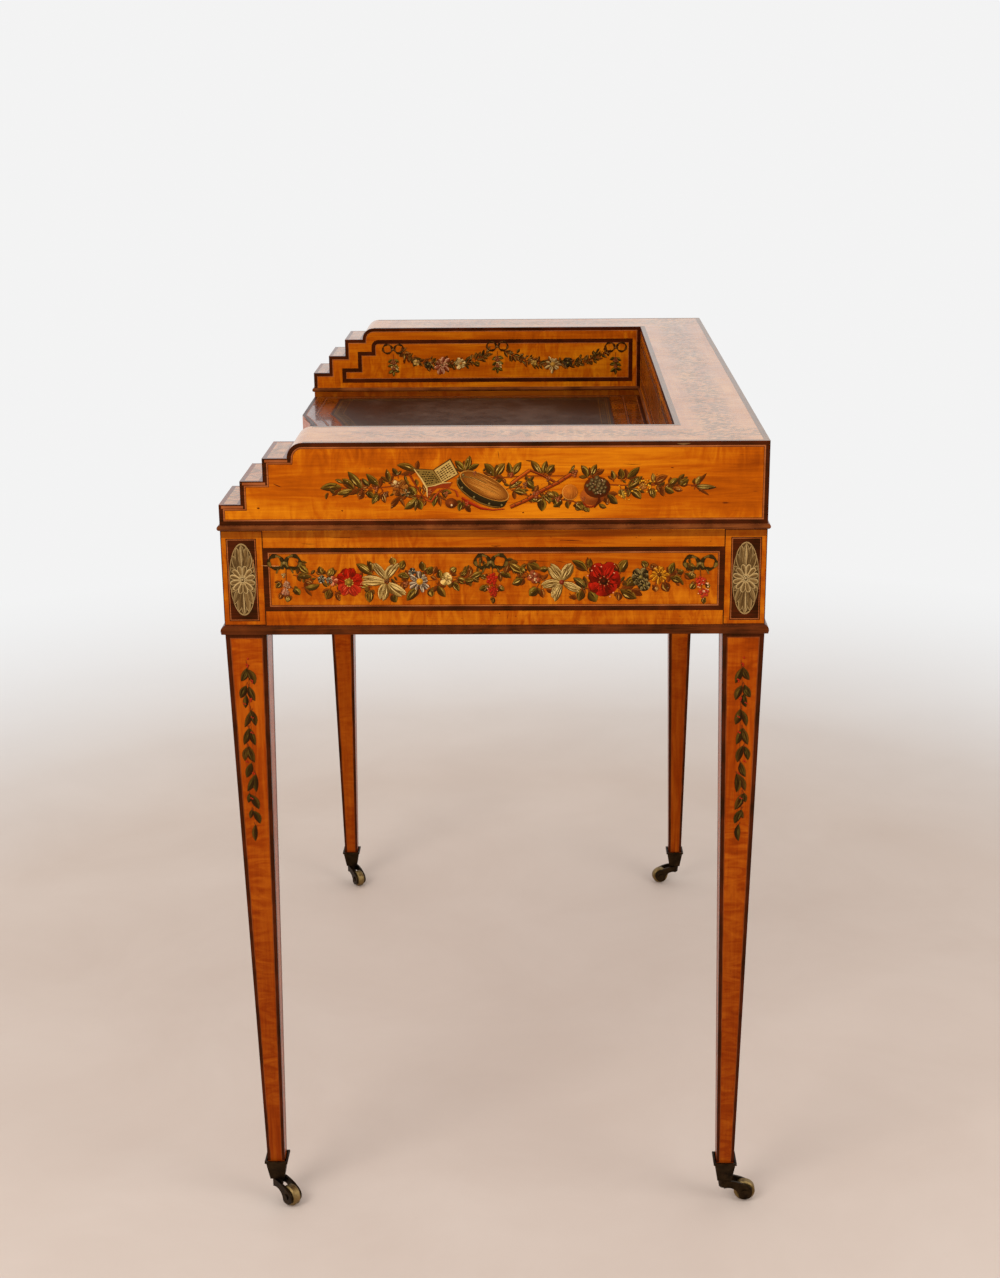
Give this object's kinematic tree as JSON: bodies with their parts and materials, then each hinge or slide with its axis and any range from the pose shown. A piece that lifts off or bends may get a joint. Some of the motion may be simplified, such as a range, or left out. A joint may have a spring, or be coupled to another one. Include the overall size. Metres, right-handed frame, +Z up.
{
  "type": "carlton house desk",
  "caption": "Carlton house writing desk: bowed-in table on tapered legs and castors, with frieze drawers and a low U-shaped stepped gallery.",
  "frame": {"origin": "on the floor under the middle of the desk", "axes": "+X to the sitter's right along the desk's length, +Y to the back, +Z up"},
  "size_m": [0.9392, 0.5881, 0.885],
  "materials": {
    "satinwood": "polished figured satinwood veneer with dark crossbanding and painted ornament",
    "moulding_wood": "polished red-brown moulding",
    "lining_wood": "plain unpolished drawer lining",
    "leather": "dark brown hide with a gilt border line",
    "knob_brass": "aged polished brass",
    "castor_bronze": "dark tarnished brass",
    "castor_wheel_brass": "worn brass tread"
  },
  "bodies": {
    "desk": {"leg_front_right": "satinwood", "leg_front_left": "satinwood", "leg_back_right": "satinwood", "leg_back_left": "satinwood", "castor_cup_front_right": "castor_bronze", "castor_cup_front_left": "castor_bronze", "castor_cup_back_right": "castor_bronze", "castor_cup_back_left": "castor_bronze", "front_bottom_rail": "satinwood", "front_top_rail": "satinwood", "back_rail": "satinwood", "right_end_rail": "satinwood", "left_end_rail": "satinwood", "table_top": "satinwood", "gallery_base": "satinwood", "right_arm_outer_side": "satinwood", "left_arm_outer_side": "satinwood", "right_arm_inner_side": "satinwood", "left_arm_inner_side": "satinwood", "right_arm_cap": "satinwood", "left_arm_cap": "satinwood", "gallery_back_cap": "satinwood", "gallery_back_board": "satinwood", "gallery_top_rail": "satinwood", "gallery_floor": "satinwood", "gallery_partitions": "satinwood", "drawer_dividers": "satinwood", "drawer_runners": "lining_wood", "drawer_guides": "lining_wood", "writing_leather": "leather", "base_moulding": "moulding_wood", "waist_moulding": "moulding_wood"},
    "front_right_horn": {"castor_horn_front_right": "castor_bronze", "castor_axle_front_right": "castor_bronze"},
    "front_right_wheel": {"castor_wheel_front_right": "castor_wheel_brass"},
    "front_left_horn": {"castor_horn_front_left": "castor_bronze", "castor_axle_front_left": "castor_bronze"},
    "front_left_wheel": {"castor_wheel_front_left": "castor_wheel_brass"},
    "back_right_horn": {"castor_horn_back_right": "castor_bronze", "castor_axle_back_right": "castor_bronze"},
    "back_right_wheel": {"castor_wheel_back_right": "castor_wheel_brass"},
    "back_left_horn": {"castor_horn_back_left": "castor_bronze", "castor_axle_back_left": "castor_bronze"},
    "back_left_wheel": {"castor_wheel_back_left": "castor_wheel_brass"},
    "left_drawer": {"left_drawer_front": "satinwood", "left_drawer_box": "lining_wood", "left_drawer_knobs": "knob_brass"},
    "centre_drawer": {"centre_drawer_front": "satinwood", "centre_drawer_box": "lining_wood", "centre_drawer_knobs": "knob_brass"},
    "right_drawer": {"right_drawer_front": "satinwood", "right_drawer_box": "lining_wood", "right_drawer_knobs": "knob_brass"},
    "gallery_left_drawer": {"gallery_left_drawer_front": "satinwood", "gallery_left_drawer_box": "lining_wood"},
    "gallery_centre_drawer": {"gallery_centre_drawer_front": "satinwood", "gallery_centre_drawer_box": "lining_wood"},
    "gallery_right_drawer": {"gallery_right_drawer_front": "satinwood", "gallery_right_drawer_box": "lining_wood"}
  },
  "joints": [
    {"name": "front_right_castor_swivel", "type": "hinge", "parent": "desk", "child": "front_right_horn", "pos_m": [0.4415, -0.2555, 0.025], "axis": [0, 0, 1], "continuous": true},
    {"name": "front_right_castor_roll", "type": "hinge", "parent": "front_right_horn", "child": "front_right_wheel", "pos_m": [0.45812, -0.23888, 0.012], "axis": [-0.7071, 0.7071, 0], "continuous": true},
    {"name": "front_left_castor_swivel", "type": "hinge", "parent": "desk", "child": "front_left_horn", "pos_m": [-0.4415, -0.2555, 0.025], "axis": [0, 0, 1], "continuous": true},
    {"name": "front_left_castor_roll", "type": "hinge", "parent": "front_left_horn", "child": "front_left_wheel", "pos_m": [-0.42115, -0.24375, 0.012], "axis": [-0.5, 0.866, 0], "continuous": true},
    {"name": "back_right_castor_swivel", "type": "hinge", "parent": "desk", "child": "back_right_horn", "pos_m": [0.4415, 0.2555, 0.025], "axis": [0, 0, 1], "continuous": true},
    {"name": "back_right_castor_roll", "type": "hinge", "parent": "back_right_horn", "child": "back_right_wheel", "pos_m": [0.44232, 0.27899, 0.012], "axis": [-0.9994, 0.0349, 0], "continuous": true},
    {"name": "back_left_castor_swivel", "type": "hinge", "parent": "desk", "child": "back_left_horn", "pos_m": [-0.4415, 0.2555, 0.025], "axis": [0, 0, 1], "continuous": true},
    {"name": "back_left_castor_roll", "type": "hinge", "parent": "back_left_horn", "child": "back_left_wheel", "pos_m": [-0.43542, 0.2328, 0.012], "axis": [0.9659, 0.2588, 0], "continuous": true},
    {"name": "left_drawer_slide", "type": "slide", "parent": "desk", "child": "left_drawer", "axis": [0, -1, 0], "range_m": [0, 0.28]},
    {"name": "centre_drawer_slide", "type": "slide", "parent": "desk", "child": "centre_drawer", "axis": [0, -1, 0], "range_m": [0, 0.28]},
    {"name": "right_drawer_slide", "type": "slide", "parent": "desk", "child": "right_drawer", "axis": [0, -1, 0], "range_m": [0, 0.28]},
    {"name": "gallery_left_drawer_slide", "type": "slide", "parent": "desk", "child": "gallery_left_drawer", "axis": [0, -1, 0], "range_m": [0, 0.05]},
    {"name": "gallery_centre_drawer_slide", "type": "slide", "parent": "desk", "child": "gallery_centre_drawer", "axis": [0, -1, 0], "range_m": [0, 0.05]},
    {"name": "gallery_right_drawer_slide", "type": "slide", "parent": "desk", "child": "gallery_right_drawer", "axis": [0, -1, 0], "range_m": [0, 0.05]}
  ]
}
